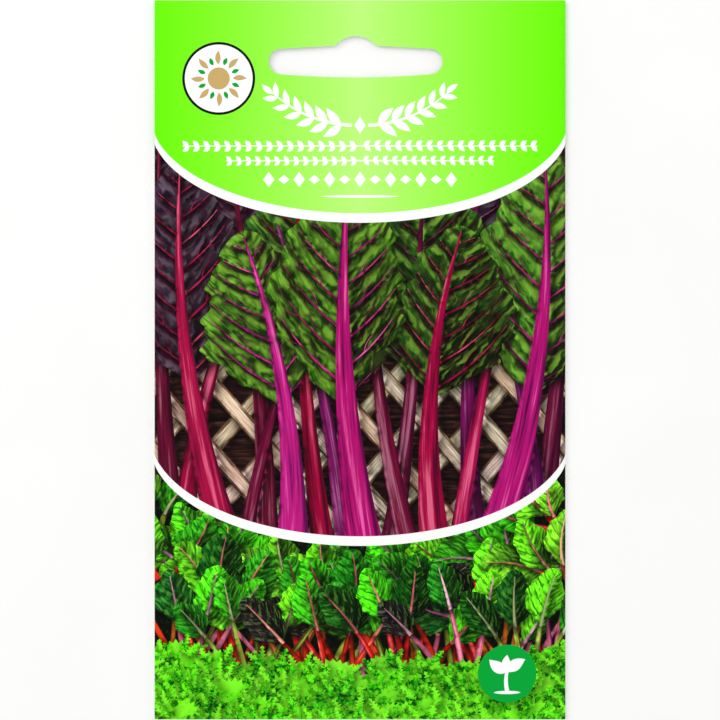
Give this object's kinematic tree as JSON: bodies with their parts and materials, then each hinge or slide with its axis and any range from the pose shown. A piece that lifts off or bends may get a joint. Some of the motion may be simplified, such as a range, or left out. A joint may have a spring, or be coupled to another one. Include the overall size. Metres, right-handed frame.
{
  "type": "seed packet",
  "caption": "Flat paper seed packet with a punched hang slot in its header, lying on its back, its pocket lifted by loose chard seeds.",
  "frame": {"origin": "on the surface that the packet rests on, under the middle of the packet", "axes": "+X to the right of the printed front, +Y up the front towards the hang slot, +Z out of the front"},
  "size_m": [0.08, 0.14, 0.0053],
  "materials": {
    "printed_paper": "coated printing paper with a satin sheen, printed in greens and crimson, white at the cut edges",
    "dried_glue": "thin dried adhesive film",
    "seed_cork": "dry corky seed clusters, matt brown"
  },
  "bodies": {
    "root": {"paper_envelope": "printed_paper", "back_seam_glue": "dried_glue", "bottom_flap_glue": "dried_glue", "header_glue": "dried_glue", "seed_01": "seed_cork", "seed_02": "seed_cork", "seed_03": "seed_cork", "seed_04": "seed_cork", "seed_05": "seed_cork", "seed_06": "seed_cork", "seed_07": "seed_cork", "seed_08": "seed_cork", "seed_09": "seed_cork", "seed_10": "seed_cork", "seed_11": "seed_cork", "seed_12": "seed_cork", "seed_13": "seed_cork", "seed_14": "seed_cork", "seed_15": "seed_cork", "seed_16": "seed_cork", "seed_17": "seed_cork", "seed_18": "seed_cork", "seed_19": "seed_cork", "seed_20": "seed_cork", "seed_21": "seed_cork", "seed_22": "seed_cork", "seed_23": "seed_cork", "seed_24": "seed_cork", "seed_25": "seed_cork", "seed_26": "seed_cork", "seed_27": "seed_cork", "seed_28": "seed_cork", "seed_29": "seed_cork", "seed_30": "seed_cork", "seed_31": "seed_cork", "seed_32": "seed_cork", "seed_33": "seed_cork", "seed_34": "seed_cork", "seed_35": "seed_cork", "seed_36": "seed_cork", "seed_37": "seed_cork", "seed_38": "seed_cork", "seed_39": "seed_cork", "seed_40": "seed_cork", "seed_41": "seed_cork", "seed_42": "seed_cork", "seed_43": "seed_cork", "seed_44": "seed_cork", "seed_45": "seed_cork", "seed_46": "seed_cork", "seed_47": "seed_cork", "seed_48": "seed_cork"}
  },
  "joints": []
}
